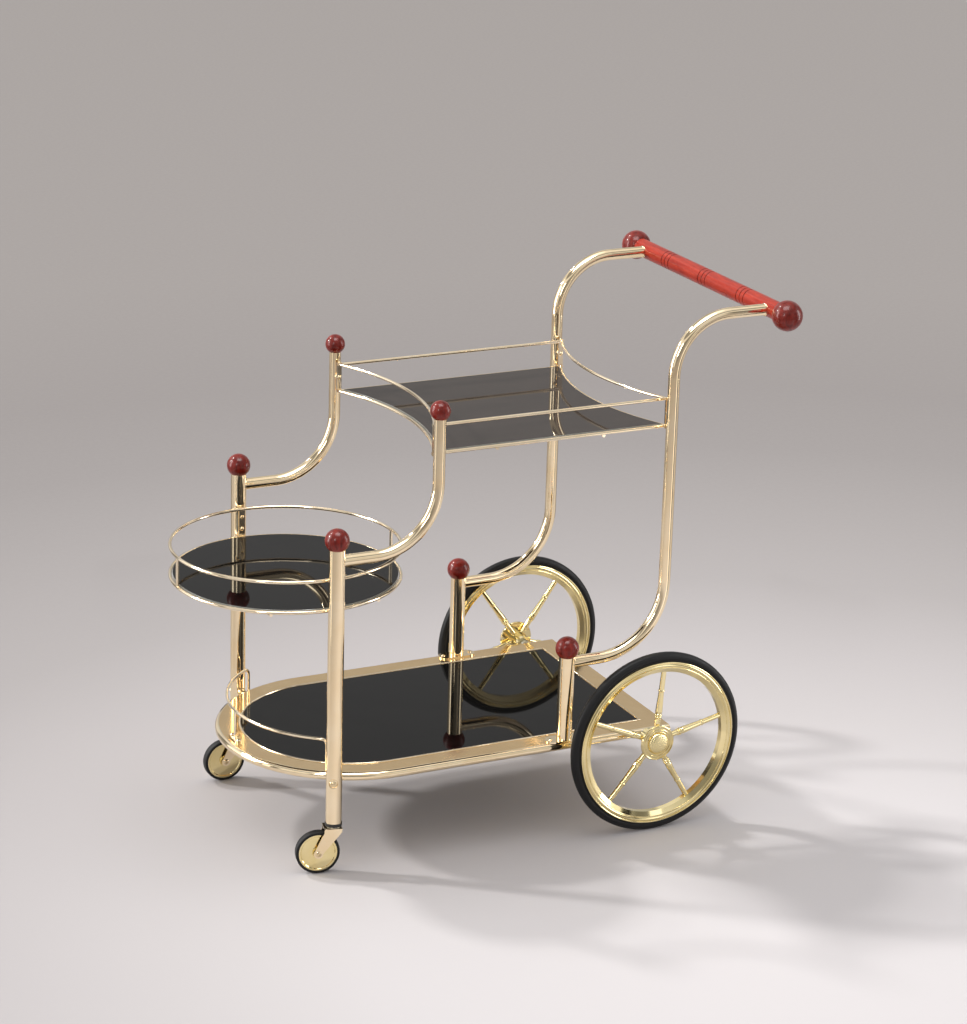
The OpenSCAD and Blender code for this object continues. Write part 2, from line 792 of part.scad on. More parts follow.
// Frame at the left wheel's middle, with +Z pointing outwards along the axle and +Y up
module at_wheel() translate([wheel_x, -wheel_y, wheel_r]) rotate([90, 0, 0]) children();

// Nut in the hub's recess, below the hub cap
module axle_nut() at_wheel() translate([0, 0, nut_recess_z + nut_gap]) hex_nut();

module stub_axle() {
    inner_end = -(bracket_face + axle_rivet_h);
    outer_end = nut_recess_z + nut_gap + nut_h + 2;
    at_wheel() {
        translate([0, 0, inner_end]) cylinder(d = axle_d, h = outer_end - inner_end);
        translate([0, 0, edge_r - wheel_offset])
            cylinder(r = shoulder_r, h = hub_inner_end - side_gap - edge_r + wheel_offset);
    }
}

module wheel_tyre() {
    half_w = tyre_w / 2;
    at_wheel() rotate_extrude($fn = 180) {
        translate([tyre_seat_r, -half_w]) square([tyre_h - half_w, tyre_w]);
        intersection() {
            translate([wheel_r - half_w, 0]) circle(r = half_w);
            translate([tyre_seat_r, -half_w]) square([tyre_h, tyre_w]);
        }
    }
}

// Channel rim, open towards the tyre
module wheel_rim() {
    half_w = rim_face_w / 2;
    step_r = rim_inner_r + rim_h * 0.4;
    floor_half = half_w * 0.55;
    at_wheel() rotate_extrude($fn = 180) difference() {
        polygon([
            [rim_inner_r, -floor_half], [step_r, -half_w], [tyre_seat_r, -half_w],
            [tyre_seat_r, half_w], [step_r, half_w], [rim_inner_r, floor_half]
        ]);
        polygon([
            [rim_inner_r + rim_t, rim_t / 2 - floor_half], [step_r + rim_t / 2, rim_t - half_w],
            [tyre_seat_r + over, rim_t - half_w], [tyre_seat_r + over, half_w - rim_t],
            [step_r + rim_t / 2, half_w - rim_t], [rim_inner_r + rim_t, floor_half - rim_t / 2]
        ]);
    }
}

// Half the outline of a turned bead of the given size, as [radius, place along the spoke]
function bead_outline(place, neck_r, bead_r) = [
    [neck_r, place - spoke_bead_l], [bead_r - 0.3, place - spoke_bead_l / 2], [bead_r, place],
    [bead_r - 0.3, place + spoke_bead_l / 2], [neck_r, place + spoke_bead_l]
];

// One turned spoke along +X from the hub to the rim
module spoke() {
    span = rim_inner_r - hub_r;
    belly_r = spoke_belly_d / 2;
    neck_r = (spoke_r + belly_r) / 2;
    pair_at = hub_r + 0.27 * span;
    single_at = hub_r + 0.68 * span;
    difference() {
        rotate([0, 90, 0]) rotate_extrude($fn = 32) polygon(concat(
            [[0, 0], [neck_r, 0]],
            bead_outline(pair_at - spoke_bead_l, neck_r - 0.4, belly_r),
            bead_outline(pair_at + spoke_bead_l, neck_r, belly_r + 0.4),
            [[belly_r, pair_at + 4 * spoke_bead_l]],
            bead_outline(single_at, spoke_r + 0.2, belly_r - 0.4),
            [[spoke_r, rim_inner_r + rim_t], [0, rim_inner_r + rim_t]]
        ));
        rotate([0, 0, 90]) cylinder(r = hub_r, h = 4 * spoke_belly_d, center = true);
        rotate([0, 0, 90]) difference() {
            cylinder(r = 2 * rim_inner_r, h = 4 * spoke_belly_d, center = true);
            cylinder(r = rim_inner_r, h = 5 * spoke_belly_d, center = true, $fn = 180);
        }
    }
}

module wheel_spokes(turn) {
    at_wheel() for (i = [0 : spoke_count - 1])
        rotate([0, 0, turn + i * 360 / spoke_count]) spoke();
}

module wheel_hub() {
    at_wheel() rotate_extrude() difference() {
        polygon([
            [0, hub_inner_end], [hub_r - 2, hub_inner_end], [hub_r - 2, -8], [hub_r, -8],
            [hub_r, hub_flange_z], [hub_flange_d / 2 - 1, hub_flange_z],
            [hub_flange_d / 2, hub_flange_z + 1], [hub_flange_d / 2, hub_face_z - 1],
            [hub_flange_d / 2 - 1, hub_face_z], [0, hub_face_z]
        ]);
        translate([0, hub_inner_end - over])
            square([axle_d / 2 + running_gap, hub_face_z - hub_inner_end + 2 * over]);
        translate([0, nut_recess_z]) square([nut_recess_r, hub_face_z]);
    }
}

module hub_cap() {
    cap_h = 9;
    cap_wall = 1.5;
    cap_r = hub_cap_d / 2;
    dome_r = (cap_r * cap_r + cap_h * cap_h) / (2 * cap_h);
    at_wheel() translate([0, 0, hub_face_z]) difference() {
        intersection() {
            translate([0, 0, cap_h - dome_r]) sphere(r = dome_r, $fn = 96);
            cylinder(r = cap_r, h = cap_h);
        }
        translate([0, 0, cap_h - dome_r]) sphere(r = dome_r - cap_wall, $fn = 96);
    }
}

// ---------- casters ----------

// Frame on the floor below the left leg, with +X in the direction the caster trails
module at_caster(turn) translate([0, -frame_half_w, 0]) rotate([0, 0, turn]) children();

// Frame at the caster wheel's middle with +Z along its axle
module at_caster_axle() translate([caster_trail, 0, caster_r]) rotate([90, 0, 0]) children();

module caster_socket() {
    translate([0, -frame_half_w, 0]) difference() {
        union() {
            translate([0, 0, socket_flange_bottom]) cylinder(d = leg_d + 1.6, h = socket_flange_h);
            translate([0, 0, leg_bottom_z]) cylinder(d = leg_d - 2 * tube_wall, h = stem_l + 4);
        }
        translate([0, 0, socket_flange_bottom - over])
            cylinder(d = stem_d + 2 * running_gap, h = stem_l + socket_flange_h + over + 1);
    }
}

module caster_stem() {
    translate([0, 0, fork_top_z - fork_t])
        cylinder(d = stem_d, h = leg_bottom_z + stem_l - fork_top_z + fork_t);
    translate([0, 0, fork_top_z]) cylinder(d = leg_d - 4, h = race_h);
}

module caster_fork() {
    cap_x = 2;
    cheek_tip_r = caster_axle_d / 2 + 4.5;
    difference() {
        union() {
            translate([cap_x - fork_cap_w / 2, -fork_cap_w / 2, fork_top_z - fork_t])
                cube([fork_cap_w, fork_cap_w, fork_t]);
            for (s = [-1, 1]) translate([0, s * (cheek_y + fork_t / 2) + fork_t / 2, 0])
                rotate([90, 0, 0]) linear_extrude(fork_t) {
                    polygon([
                        [cap_x - fork_cap_w / 2, fork_top_z - fork_t / 2],
                        [cap_x - fork_cap_w / 2, fork_top_z - 7],
                        [caster_trail - cheek_tip_r, caster_r],
                        [caster_trail + cheek_tip_r, caster_r],
                        [cap_x + fork_cap_w / 2, fork_top_z - 7],
                        [cap_x + fork_cap_w / 2, fork_top_z - fork_t / 2]
                    ]);
                    translate([caster_trail, caster_r]) circle(r = cheek_tip_r);
                }
        }
        at_caster_axle() cylinder(d = caster_axle_d, h = 2 * fork_cap_w, center = true);
        translate([0, 0, fork_top_z - 2 * fork_t]) cylinder(d = stem_d, h = 4 * fork_t);
    }
}

module caster_axle() {
    half_l = cheek_y + fork_t;
    at_caster_axle() {
        cylinder(d = caster_axle_d, h = 2 * half_l, center = true);
        for (s = [0, 1]) mirror([0, 0, s]) translate([0, 0, half_l])
            screw(caster_axle_d, caster_axle_d + 3.4, 1.8, over);
    }
}

module caster_wheel() {
    lip = 4;
    face_half = caster_tyre_w / 2 - 2;
    at_caster_axle() rotate_extrude($fn = 96) difference() {
        polygon([
            [0, -caster_hub_half], [8, -caster_hub_half], [9, -face_half],
            [caster_seat_r - lip, -face_half], [caster_seat_r - lip + 1, -face_half - 1.2],
            [caster_seat_r, -face_half - 1.2], [caster_seat_r, face_half + 1.2],
            [caster_seat_r - lip + 1, face_half + 1.2], [caster_seat_r - lip, face_half],
            [9, face_half], [8, caster_hub_half], [0, caster_hub_half]
        ]);
        translate([0, -2 * caster_hub_half])
            square([caster_axle_d / 2 + running_gap, 4 * caster_hub_half]);
    }
}

module caster_tyre() {
    round_r = caster_tyre_h * 0.6;
    at_caster_axle() rotate_extrude($fn = 96) intersection() {
        translate([caster_r - caster_tyre_h, 0])
            round_rect(2 * caster_tyre_h, caster_tyre_w, round_r);
        translate([caster_seat_r, -caster_tyre_w]) square([2 * caster_tyre_h, 2 * caster_tyre_w]);
    }
}

// ---------- the part's nodes ----------

module left(tint) color(tint) in_frame() children();
module right(tint) color(tint) in_frame() right_side() children();
module middle(tint) color(tint) in_frame() children();
module left_caster_part(tint) left(tint) at_caster(left_caster_turn) children();
// Mirroring turns the trailing direction round, so the angle is given reversed
module right_caster_part(tint) right(tint) at_caster(-right_caster_turn) children();

module left_front_leg() left(BRASS) front_leg();
module right_front_leg() right(BRASS) front_leg();
module left_front_finial() left(CHERRY) front_finial();
module right_front_finial() right(CHERRY) front_finial();
module left_upper_tube() left(BRASS) upper_tube();
module right_upper_tube() right(BRASS) upper_tube();
module left_upper_finial() left(CHERRY) upper_finial();
module right_upper_finial() right(CHERRY) upper_finial();
module left_rear_tube() left(BRASS) rear_tube();
module right_rear_tube() right(BRASS) rear_tube();
module left_short_post() left(BRASS) short_post();
module right_short_post() right(BRASS) short_post();
module left_post_finial() left(CHERRY) post_finial();
module right_post_finial() right(CHERRY) post_finial();
module post_base_plates() middle(BRASS) both_sides() post_base_plate();
module handle_bar() middle(HANDLE_RED) handle();
module left_handle_ball() left(CHERRY) handle_ball();
module right_handle_ball() right(CHERRY) handle_ball();
module upper_top_rail() middle(WIRE) top_rail();
module upper_shelf_rail() middle(WIRE) shelf_rail();
module upper_corner_struts() middle(WIRE) both_sides() {
    corner_strut(upper_tube_x);
    corner_strut(rear_tube_x);
}
module upper_glass() middle(BLACK_GLASS) upper_shelf_glass();
module tray_top_ring() middle(WIRE) tray_ring(tray_ring_z);
module tray_bottom_ring() middle(WIRE) tray_support_ring();
module tray_struts() middle(WIRE) tray_strut_set();
module tray_glass() middle(BLACK_GLASS) tray_plate();
module shelf_pan() middle(BRASS) pan();
module shelf_edge_tube() middle(BRASS) edge_tube();
module shelf_glass_bead() middle(WIRE) glass_bead();
module shelf_glass() middle(BLACK_GLASS) bottom_glass();
module guard_rail() middle(WIRE) guard();
module rail_screws() middle(WIRE) all_rail_screws();
module base_screws() middle(WIRE) all_base_screws();
module leg_bolts() middle(WIRE) both_sides() {
    leg_bolt();
    leg_spacer_ring();
}
module axle_brackets() middle(BRASS) both_sides() axle_bracket();
module axle_nuts() middle(STEEL) both_sides() axle_nut();
module left_stub_axle() left(STEEL) stub_axle();
module right_stub_axle() right(STEEL) stub_axle();
module left_caster_socket() left(BLACK_PLASTIC) caster_socket();
module right_caster_socket() right(BLACK_PLASTIC) caster_socket();
module left_caster_stem() left_caster_part(STEEL) caster_stem();
module left_caster_fork() left_caster_part(BRASS) caster_fork();
module left_caster_axle() left_caster_part(BRASS) caster_axle();
module left_caster_wheel() left_caster_part(BRASS) caster_wheel();
module left_caster_tyre() left_caster_part(RUBBER) caster_tyre();
module right_caster_stem() right_caster_part(STEEL) caster_stem();
module right_caster_fork() right_caster_part(BRASS) caster_fork();
module right_caster_axle() right_caster_part(BRASS) caster_axle();
module right_caster_wheel() right_caster_part(BRASS) caster_wheel();
module right_caster_tyre() right_caster_part(RUBBER) caster_tyre();
module left_wheel_tyre() left(RUBBER) wheel_tyre();
module left_wheel_rim() left(BRASS) wheel_rim();
module left_wheel_spokes() left(BRASS) wheel_spokes(left_spoke_turn);
module left_wheel_hub() left(BRASS) wheel_hub();
module left_hub_cap() left(BRASS) hub_cap();
module right_wheel_tyre() right(RUBBER) wheel_tyre();
module right_wheel_rim() right(BRASS) wheel_rim();
module right_wheel_spokes() right(BRASS) wheel_spokes(right_spoke_turn);
module right_wheel_hub() right(BRASS) wheel_hub();
module right_hub_cap() right(BRASS) hub_cap();

left_front_leg();
right_front_leg();
left_front_finial();
right_front_finial();
left_upper_tube();
right_upper_tube();
left_upper_finial();
right_upper_finial();
left_rear_tube();
right_rear_tube();
left_short_post();
right_short_post();
left_post_finial();
right_post_finial();
post_base_plates();
handle_bar();
left_handle_ball();
right_handle_ball();
upper_top_rail();
upper_shelf_rail();
upper_corner_struts();
upper_glass();
tray_top_ring();
tray_bottom_ring();
tray_struts();
tray_glass();
shelf_pan();
shelf_edge_tube();
shelf_glass_bead();
shelf_glass();
guard_rail();
rail_screws();
base_screws();
leg_bolts();
axle_brackets();
axle_nuts();
left_stub_axle();
right_stub_axle();
left_caster_socket();
right_caster_socket();
left_caster_stem();
left_caster_fork();
left_caster_axle();
left_caster_wheel();
left_caster_tyre();
right_caster_stem();
right_caster_fork();
right_caster_axle();
right_caster_wheel();
right_caster_tyre();
left_wheel_tyre();
left_wheel_rim();
left_wheel_spokes();
left_wheel_hub();
left_hub_cap();
right_wheel_tyre();
right_wheel_rim();
right_wheel_spokes();
right_wheel_hub();
right_hub_cap();
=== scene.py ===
"""Serving trolley: looks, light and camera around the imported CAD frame. Metres, +Z up."""
import json
import math

import bpy
from mathutils import Matrix, Vector


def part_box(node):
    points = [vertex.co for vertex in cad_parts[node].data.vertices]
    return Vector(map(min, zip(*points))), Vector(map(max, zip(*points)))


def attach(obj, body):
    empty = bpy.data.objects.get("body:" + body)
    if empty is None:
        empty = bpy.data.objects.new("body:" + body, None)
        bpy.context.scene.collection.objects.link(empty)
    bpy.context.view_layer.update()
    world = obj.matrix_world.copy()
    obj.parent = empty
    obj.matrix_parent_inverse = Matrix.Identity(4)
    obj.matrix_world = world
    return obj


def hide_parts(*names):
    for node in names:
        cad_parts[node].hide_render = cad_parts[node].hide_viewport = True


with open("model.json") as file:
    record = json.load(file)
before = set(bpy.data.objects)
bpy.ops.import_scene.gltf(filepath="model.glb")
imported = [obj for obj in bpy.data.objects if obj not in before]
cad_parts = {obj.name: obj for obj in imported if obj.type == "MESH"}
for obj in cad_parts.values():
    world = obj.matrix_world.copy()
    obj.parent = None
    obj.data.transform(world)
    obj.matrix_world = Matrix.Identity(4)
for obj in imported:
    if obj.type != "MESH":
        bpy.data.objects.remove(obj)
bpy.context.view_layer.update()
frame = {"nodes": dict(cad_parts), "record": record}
nodes = frame["nodes"]
record = frame["record"]
MM = 0.001
FULL = 2 * math.pi


# ---------- measures from the CAD frame ----------

def size(node):
    """Lowest corner, highest corner and middle of a CAD node."""
    lo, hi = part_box(node)
    return lo, hi, (lo + hi) / 2


def body_of(node):
    """The moving body that a CAD node belongs to."""
    for body, members in record["behaviour"]["bodies"].items():
        if node in members:
            return body
    raise ValueError(node)


SLOT = {s["node"]: s["material_slot"] for s in record["subparts"]}


# ---------- node helpers ----------

def material(name):
    mat = bpy.data.materials.new(name)
    mat.use_nodes = True
    tree = mat.node_tree
    return mat, tree, tree.nodes["Principled BSDF"]


def add(tree, kind, inputs=None, **settings):
    node = tree.nodes.new("ShaderNode" + kind)
    for key, value in settings.items():
        setattr(node, key, value)
    for key, value in (inputs or {}).items():
        if isinstance(value, bpy.types.NodeSocket):
            tree.links.new(value, node.inputs[key])
        else:
            node.inputs[key].default_value = value
    return node


def object_coords(tree, scale=(1, 1, 1), offset=(0, 0, 0)):
    coords = add(tree, "TexCoord")
    return add(tree, "Mapping", {"Vector": coords.outputs["Object"], "Scale": scale,
                                 "Location": offset}).outputs["Vector"]


def noise(tree, vector, scale, detail=2.0, rough=0.5, distort=0.0):
    return add(tree, "TexNoise", {"Vector": vector, "Scale": scale, "Detail": detail,
                                  "Roughness": rough, "Distortion": distort}).outputs["Fac"]


def remap(tree, value, low, high, out_low, out_high):
    return add(tree, "MapRange", {"Value": value, "From Min": low, "From Max": high,
                                  "To Min": out_low, "To Max": out_high}).outputs["Result"]


def math_node(tree, operation, a, b=0.0):
    return add(tree, "Math", {0: a, 1: b}, operation=operation).outputs[0]


def blend_colour(tree, factor, low, high):
    node = add(tree, "Mix", data_type="RGBA")
    for socket, value in (("Factor", factor), ("A", low), ("B", high)):
        target = [s for s in node.inputs if s.name == socket and s.enabled][0]
        if isinstance(value, bpy.types.NodeSocket):
            tree.links.new(value, target)
        else:
            target.default_value = value if socket == "Factor" else (*value, 1)
    return [s for s in node.outputs if s.enabled][0]


def colour_ramp(tree, value, stops):
    """A ramp of (position, colour) stops, read at value."""
    ramp = add(tree, "ValToRGB", {"Fac": value})
    while len(ramp.color_ramp.elements) < len(stops):
        ramp.color_ramp.elements.new(0.5)
    for element, (at, colour) in zip(ramp.color_ramp.elements, stops):
        element.position = at
        element.color = (*colour, 1)
    return ramp.outputs["Color"]


def bump(tree, bsdf, height, strength, distance):
    node = add(tree, "Bump", {"Height": height, "Strength": strength, "Distance": distance})
    tree.links.new(node.outputs["Normal"], bsdf.inputs["Normal"])


def link(tree, output, bsdf, socket):
    tree.links.new(output, bsdf.inputs[socket])


def constants(bsdf, **values):
    for key, value in values.items():
        bsdf.inputs[key.replace("_", " ")].default_value = value


# ---------- materials ----------

def brass(name, pale, deep, rough_low, rough_high, ripple=0.06):
    """Polished plate: faint smears in tone and gloss, and a slow ripple from the polishing wheel."""
    mat, tree, bsdf = material(name)
    where = object_coords(tree)
    smear = noise(tree, where, 14, 4, 0.6, 0.4)
    link(tree, blend_colour(tree, remap(tree, smear, 0.35, 0.68, 0, 1), deep, pale), bsdf, "Base Color")
    haze = noise(tree, where, 46, 5, 0.65)
    link(tree, remap(tree, haze, 0.35, 0.7, rough_low, rough_high), bsdf, "Roughness")
    bump(tree, bsdf, noise(tree, where, 32, 1.5), ripple, 0.0008)
    constants(bsdf, Metallic=1.0, Coat_Weight=0.18, Coat_Roughness=0.04)
    return mat


def lacquered_wood(name, light, dark, axis, rings, coat,
                   groove_axis=None, groove_radius=0.0, groove_shade_colour=None):
    """Stained wood under clear lacquer, its grain drawn out along one axis."""
    mat, tree, bsdf = material(name)
    stretch = [170, 170, 170]
    stretch[axis] = 22
    grain = noise(tree, object_coords(tree, stretch), 1.0, 5, 0.62, 0.8)
    figure = noise(tree, object_coords(tree, [s * 0.2 for s in stretch], (3, 1, 2)), rings, 3, 0.5, 1.6)
    shade = math_node(tree, "ADD", math_node(tree, "MULTIPLY", grain, 0.55),
                      math_node(tree, "MULTIPLY", figure, 0.45))
    tone = blend_colour(tree, remap(tree, shade, 0.36, 0.64, 0, 1), dark, light)
    if groove_axis is not None:
        coords = add(tree, "TexCoord").outputs["Object"]
        away = add(tree, "VectorMath", {0: coords, 1: groove_axis}, operation="SUBTRACT").outputs[0]
        flat = add(tree, "VectorMath", {0: away, 1: (1, 0, 1)}, operation="MULTIPLY").outputs[0]
        radius = add(tree, "VectorMath", {0: flat}, operation="LENGTH").outputs["Value"]
        # painted shade: the wood darkens to the groove colour where its surface lies 0.9 mm or more inside
        # groove_radius, down in the handle's grooves
        groove_shade_mask = remap(tree, radius, groove_radius - 0.0009, groove_radius - 0.0001, 1, 0)
        tone = blend_colour(tree, groove_shade_mask, tone, groove_shade_colour)
    link(tree, tone, bsdf, "Base Color")
    link(tree, remap(tree, grain, 0.3, 0.7, 0.26, 0.4), bsdf, "Roughness")
    bump(tree, bsdf, grain, 0.05, 0.0004)
    constants(bsdf, Coat_Weight=coat, Coat_Roughness=0.035, Coat_IOR=1.5, Specular_IOR_Level=0.2)
    return mat


def black_glass(name, tint):
    """Dark tempered glass: a mirror film over black, with wiped streaks in its gloss."""
    mat, tree, bsdf = material(name)
    streak = noise(tree, object_coords(tree, (6, 30, 1)), 1.4, 5, 0.6, 1.2)
    dust = noise(tree, object_coords(tree), 900, 2, 0.5)
    speck = remap(tree, dust, 0.72, 0.8, 0, 0.25)
    base = blend_colour(tree, remap(tree, streak, 0.3, 0.7, 0, 1), tint, [c * 1.35 for c in tint])
    link(tree, blend_colour(tree, speck, base, (0.2, 0.19, 0.18)), bsdf, "Base Color")
    link(tree, remap(tree, streak, 0.3, 0.75, 0.012, 0.045), bsdf, "Roughness")
    constants(bsdf, IOR=1.22, Specular_IOR_Level=0.5)
    return mat


def glass_edge(name):
    """The edge of a glass plate in pale greys, a painted highlight for the glint along its polished bevel,
    with a fine grain in tone and gloss.
    """
    mat, tree, bsdf = material(name)
    edge_grain = noise(tree, object_coords(tree), 260, 3, 0.6)
    link(tree, blend_colour(tree, edge_grain, (0.16, 0.165, 0.155), (0.34, 0.35, 0.33)), bsdf, "Base Color")
    link(tree, remap(tree, edge_grain, 0.3, 0.7, 0.08, 0.22), bsdf, "Roughness")
    constants(bsdf, IOR=1.52, Coat_Weight=0.6, Coat_Roughness=0.05)
    return mat


def rubber(name, tone, grit):
    """Dull black rubber with a little dust and a fine grit."""
    mat, tree, bsdf = material(name)
    where = object_coords(tree)
    dust = noise(tree, where, 38, 5, 0.7)
    link(tree, blend_colour(tree, remap(tree, dust, 0.4, 0.75, 0, 1), tone, [c * 1.7 for c in tone]),
         bsdf, "Base Color")
    link(tree, remap(tree, dust, 0.3, 0.7, 0.42, 0.62), bsdf, "Roughness")
    bump(tree, bsdf, noise(tree, where, grit, 3, 0.6), 0.12, 0.0003)
    constants(bsdf, Sheen_Weight=0.03, Sheen_Roughness=0.5, Specular_IOR_Level=0.3)
    return mat


def plain(name, low, high, rough_low, rough_high, metallic, grain, strength):
    """Plastic or zinc: two tones in small spots, with a fine grain."""
    mat, tree, bsdf = material(name)
    where = object_coords(tree)
    spots = noise(tree, where, grain, 4, 0.6)
    link(tree, blend_colour(tree, spots, low, high), bsdf, "Base Color")
    link(tree, remap(tree, spots, 0.3, 0.7, rough_low, rough_high), bsdf, "Roughness")
    bump(tree, bsdf, noise(tree, where, grain * 9, 2), strength, 0.0003)
    constants(bsdf, Metallic=metallic)
    return mat


handle_mid = size("handle_bar")[2]
handle_radius = (size("handle_bar")[1].z - size("handle_bar")[0].z) / 2
LOOK = {
    "brass_tube": brass("brass_tube_look", (0.985, 0.83, 0.58), (0.93, 0.74, 0.47), 0.05, 0.1),
    "brass_wire": brass("brass_wire_look", (0.97, 0.84, 0.64), (0.91, 0.75, 0.52), 0.07, 0.13),
    "brass_wheel": brass("brass_wheel_look", (0.93, 0.80, 0.46), (0.86, 0.71, 0.35), 0.05, 0.12, 0.08),
    "brass_fasteners": brass("brass_fastener_look", (0.92, 0.77, 0.52), (0.84, 0.66, 0.4), 0.12, 0.22),
    "cherry_wood": lacquered_wood("cherry_lacquer", (0.34, 0.024, 0.013), (0.12, 0.008, 0.005), 2, 1.6, 0.32),
    # the handle's last colour is the painted shade in its grooves
    "handle_wood": lacquered_wood("handle_lacquer", (0.53, 0.037, 0.011), (0.33, 0.017, 0.006), 1, 1.8, 0.22,
                                  handle_mid, handle_radius, (0.1, 0.012, 0.008)),
    "black_glass": black_glass("black_glass_look", (0.0042, 0.004, 0.0038)),
    "rubber": rubber("tyre_rubber", (0.0055, 0.0055, 0.006), 700),
    "black_plastic": plain("socket_plastic", (0.008, 0.008, 0.008), (0.02, 0.02, 0.02),
                           0.28, 0.4, 0, 60, 0.05),
    "plain_steel": plain("zinc_steel", (0.42, 0.42, 0.41), (0.62, 0.62, 0.6),
                         0.22, 0.36, 1, 40, 0.05),
}
# the plates' edges in pale greys: painted highlight
EDGE = glass_edge("glass_edge_painted_highlight")
# the upper plate's base is ten times lighter than the other plates': painted reflection over the glass's own
# dark tone
UPPER_GLASS_PAINTED_REFLECTION = black_glass("upper_glass_painted_reflection", (0.041, 0.033, 0.029))
PAN = brass("shelf_pan_look", (0.94, 0.69, 0.37), (0.88, 0.62, 0.31), 0.1, 0.17)

for name, node in nodes.items():
    node.data.materials.clear()
    node.data.materials.append(PAN if name == "shelf_pan" else LOOK[SLOT[name]])


# ---------- mesh helpers ----------

def piece(name, verts, faces, body, slot, mats=None, face_mats=None, sharp=35, stands_for=()):
    """A mesh that rides on a body, in its slot's look unless mats gives others."""
    mesh = bpy.data.meshes.new(name)
    mesh.from_pydata([tuple(v) for v in verts], [], faces)
    mesh.validate()
    for mat in mats or [LOOK[slot]]:
        mesh.materials.append(mat)
    if face_mats:
        mesh.polygons.foreach_set("material_index", face_mats)
    mesh.shade_smooth()
    mesh.set_sharp_from_angle(angle=math.radians(sharp))
    mesh.update()
    obj = bpy.data.objects.new(name, mesh)
    bpy.context.scene.collection.objects.link(obj)
    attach(obj, body)
    if stands_for:
        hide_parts(*stands_for)


def lathe_mesh(profile, steps, place, height=None):
    """Rings of a closed profile of (radius, height along the axis), turned about place's Z."""
    verts, faces = [], []
    count = len(profile)
    for i in range(steps):
        turn = FULL * i / steps
        for r, h in profile:
            extra = height(r, turn) if height else 0
            verts.append(place @ Vector((r * math.cos(turn), r * math.sin(turn), h + extra)))
    for i in range(steps):
        for k in range(count):
            a, b = i * count, ((i + 1) % steps) * count
            n = (k + 1) % count
            faces.append((a + k, b + k, b + n, a + n))
    return verts, faces


def sweep_mesh(path, radius, steps=12):
    """A round bead along a closed path."""
    verts, faces = [], []
    count = len(path)
    for i, point in enumerate(path):
        ahead = (path[(i + 1) % count] - path[i - 1]).normalized()
        side = ahead.cross(Vector((0.31, 0.17, 0.93))).normalized()
        up = side.cross(ahead)
        for k in range(steps):
            turn = FULL * k / steps
            verts.append(point + radius * (math.cos(turn) * side + math.sin(turn) * up))
    for i in range(count):
        for k in range(steps):
            a, b, n = i * steps, ((i + 1) % count) * steps, (k + 1) % steps
            faces.append((a + k, a + n, b + n, b + k))
    return verts, faces


def ring_profile(radius, height, thick, steps=10):
    """A round section for lathe_mesh, thick from its middle to its edge."""
    return [(radius + thick * math.cos(FULL * k / steps), height + thick * math.sin(FULL * k / steps))
            for k in range(steps)]


# ---------- glass plates with ground edges ----------

CHAMFER = 0.7 * MM


def glass_plate(name, outline, node, top_mat):
    """A plate whose edge is ground to a chamfer above and below; outline(inset) gives its corners."""
    lo, hi, _ = size(node)
    levels = [(CHAMFER, lo.z), (0, lo.z + CHAMFER), (0, hi.z - CHAMFER), (CHAMFER, hi.z)]
    verts = [Vector((x, y, z)) for inset, z in levels for x, y in outline(inset)]
    count = len(verts) // len(levels)
    faces = [tuple(reversed(range(count))), tuple(range(3 * count, 4 * count))]
    kinds = [0, 0]
    for level in range(3):
        for k in range(count):
            a, b, n = level * count, (level + 1) * count, (k + 1) % count
            faces.append((a + k, a + n, b + n, b + k))
            kinds.append(1)
    piece(name, verts, faces, body_of(node), SLOT[node], [top_mat, EDGE], kinds, 20, (node,))


def tray_outline(inset):
    lo, hi, mid = size("tray_glass")
    radius = (hi.x - lo.x) / 2 - inset
    steps = 192
    return [(mid.x + radius * math.cos(FULL * k / steps), mid.y + radius * math.sin(FULL * k / steps))
            for k in range(steps)]


def shelf_outline(inset):
    lo, hi, _ = size("shelf_glass")
    radius = hi.y - inset
    centre = lo.x + hi.y
    steps = 96
    front = [(centre - radius * math.sin(math.pi * k / steps), radius * math.cos(math.pi * k / steps))
             for k in range(steps + 1)]
    return front + [(hi.x - inset, -radius), (hi.x - inset, radius)]


def upper_glass_arc():
    """Radius and middle of the circle along the plate's front edge, from its corner and its middle."""
    points = [v.co for v in nodes["upper_glass"].data.vertices]
    lo, hi, mid = size("upper_glass")
    centre_x = max(p.x for p in points if p.x < mid.x)
    sag = centre_x - lo.x
    return (hi.y * hi.y + sag * sag) / (2 * sag), centre_x


ARC_R, ARC_X = upper_glass_arc()


def upper_outline(inset):
    _, hi, mid = size("upper_glass")
    half = hi.y - inset
    radius = ARC_R + inset
    centre = ARC_X - ARC_R
    steps = 64
    reach = math.asin(half / radius)
    front = []
    for k in range(steps + 1):
        turn = reach - 2 * reach * k / steps
        front.append((centre + radius * math.cos(turn), radius * math.sin(turn)))
    rear = [(2 * mid.x - x, -y) for x, y in front]
    return front + rear


glass_plate("tray_plate", tray_outline, "tray_glass", LOOK["black_glass"])
glass_plate("bottom_plate", shelf_outline, "shelf_glass", LOOK["black_glass"])
glass_plate("upper_plate", upper_outline, "upper_glass", UPPER_GLASS_PAINTED_REFLECTION)


def glass_bead():
    """The strip around the bottom glass, rolled to a half-round bead."""
    lo, hi, _ = size("shelf_glass_bead")
    half = (hi.y - size("shelf_glass")[1].y) / 2
    path = [Vector((x, y, lo.z)) for x, y in shelf_outline(-half)]
    verts, faces = sweep_mesh(path, half - 0.1 * MM, 16)
    piece("shelf_glass_bead_rolled", verts, faces, "cart", SLOT["shelf_glass_bead"], sharp=80,
          stands_for=("shelf_glass_bead",))


glass_bead()


# ---------- rear wheels ----------

def wheel_place(side):
    """A frame at the wheel's middle with +Z pointing outwards."""
    sign = -1 if side == "left" else 1
    mid = size(f"{side}_wheel_tyre")[2]
    turn = Matrix.Rotation(math.radians(-90 * sign), 4, "X")
    return Matrix.Translation(mid) @ turn


